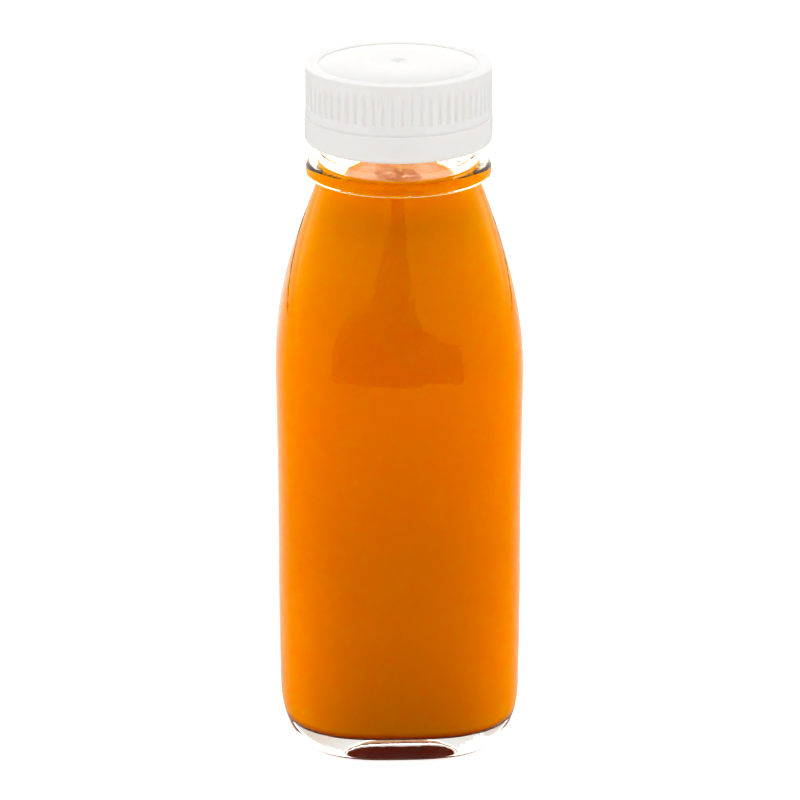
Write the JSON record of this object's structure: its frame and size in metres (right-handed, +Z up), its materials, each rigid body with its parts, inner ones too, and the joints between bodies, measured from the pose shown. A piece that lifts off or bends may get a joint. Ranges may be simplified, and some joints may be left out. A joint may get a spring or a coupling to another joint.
{
  "type": "filled glass juice bottle",
  "caption": "Small glass bottle with rounded-square body, full of orange drink, shut by a ribbed white screw cap with a tamper band.",
  "frame": {"origin": "centre of the base, on the surface that the bottle stands on", "axes": "+Z up along the bottle's axis, X and Y square to the flat sides of the body, -Y towards the side that the picture shows"},
  "size_m": [0.0552, 0.0552, 0.1578],
  "materials": {
    "glass": "clear flint soda-lime glass, fire polished outside",
    "juice": "cloudy orange drink seen through the glass",
    "cap_plastic": "white moulded polyethylene, satin",
    "band_plastic": "white moulded polyethylene, satin"
  },
  "bodies": {
    "root": {"bottle": "glass", "juice": "juice", "cap": "cap_plastic", "tamper_band": "band_plastic"}
  },
  "joints": []
}
